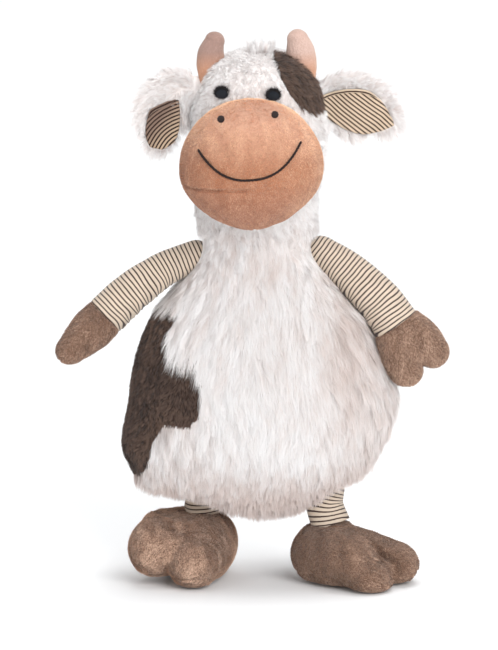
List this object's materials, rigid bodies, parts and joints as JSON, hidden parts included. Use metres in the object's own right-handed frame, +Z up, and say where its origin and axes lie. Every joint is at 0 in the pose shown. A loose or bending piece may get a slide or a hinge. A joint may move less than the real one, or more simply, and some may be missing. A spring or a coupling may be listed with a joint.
{
  "type": "plush toy",
  "caption": "Stuffed plush cow that stands on its feet, with striped sleeves, cloven velour hands and feet, a velour muzzle, horns, ears and brown patches.",
  "frame": {"origin": "on the floor under the middle of the toy's box", "axes": "+Z up, -Y the way the toy faces, +X towards the toy's left hand"},
  "size_m": [0.266, 0.1468, 0.3788],
  "materials": {
    "white_fur": "long soft pile, off-white",
    "brown_fur": "short soft pile, dark brown",
    "peach_velour": "short velour pile, peach",
    "horn_velour": "short velour pile, pale peach",
    "taupe_velour": "short velour pile, taupe brown",
    "striped_jersey": "cream jersey with thin dark brown stripes",
    "eye_thread": "dense satin stitch, blue-black",
    "mouth_thread": "dense satin stitch, dark brown",
    "fibre_filling": "loose white fibre"
  },
  "bodies": {
    "torso": {"body_back_cover": "white_fur", "body_filling": "fibre_filling", "body_front_cover": "white_fur", "body_patch": "brown_fur"},
    "head": {"crown_tuft": "white_fur", "eye_left": "eye_thread", "eye_right": "eye_thread", "head_back_cover": "white_fur", "head_face_cover": "white_fur", "head_filling": "fibre_filling", "head_patch": "brown_fur", "horn_cover_left": "horn_velour", "horn_cover_right": "horn_velour", "horn_filling_left": "fibre_filling", "horn_filling_right": "fibre_filling", "muzzle_chin": "peach_velour", "muzzle_filling": "fibre_filling", "muzzle_upper": "peach_velour", "nostril_left": "mouth_thread", "nostril_right": "mouth_thread", "smile_stitch": "mouth_thread"},
    "arm_right": {"arm_filling_right": "fibre_filling", "arm_sleeve_right": "striped_jersey", "hand_filling_right": "fibre_filling", "hand_hoof_right": "taupe_velour"},
    "arm_left": {"arm_filling_left": "fibre_filling", "arm_sleeve_left": "striped_jersey", "hand_filling_left": "fibre_filling", "hand_hoof_left": "taupe_velour"},
    "leg_right": {"foot_filling_right": "fibre_filling", "foot_hoof_right": "taupe_velour", "leg_filling_right": "fibre_filling", "leg_sleeve_right": "striped_jersey"},
    "leg_left": {"foot_filling_left": "fibre_filling", "foot_hoof_left": "taupe_velour", "leg_filling_left": "fibre_filling", "leg_sleeve_left": "striped_jersey"},
    "ear_right": {"ear_back_right": "white_fur", "ear_lining_right": "striped_jersey"},
    "ear_left": {"ear_back_left": "white_fur", "ear_lining_left": "striped_jersey"}
  },
  "joints": [
    {"name": "neck_turn", "type": "hinge", "parent": "torso", "child": "head", "pos_m": [0.00424, 0.02156, 0.239], "axis": [0, 0, 1], "range_deg": [-25, 25]},
    {"name": "shoulder_right", "type": "hinge", "parent": "torso", "child": "arm_right", "pos_m": [-0.03756, 0.02156, 0.225], "axis": [0, 1, 0], "range_deg": [0, 50]},
    {"name": "shoulder_left", "type": "hinge", "parent": "torso", "child": "arm_left", "pos_m": [0.04603, 0.02156, 0.225], "axis": [0, -1, 0], "range_deg": [0, 50]},
    {"name": "hip_right", "type": "hinge", "parent": "torso", "child": "leg_right", "pos_m": [-0.03276, 0.02956, 0.062], "axis": [-1, 0, 0], "range_deg": [-15, 15]},
    {"name": "hip_left", "type": "hinge", "parent": "torso", "child": "leg_left", "pos_m": [0.05024, 0.01556, 0.062], "axis": [-1, 0, 0], "range_deg": [-15, 15]},
    {"name": "ear_flop_right", "type": "hinge", "parent": "head", "child": "ear_right", "pos_m": [-0.04341, 0.02156, 0.324], "axis": [0, 1, 0], "range_deg": [0, 45]},
    {"name": "ear_flop_left", "type": "hinge", "parent": "head", "child": "ear_left", "pos_m": [0.05217, 0.02156, 0.322], "axis": [0, -1, 0], "range_deg": [-45, 10]}
  ]
}
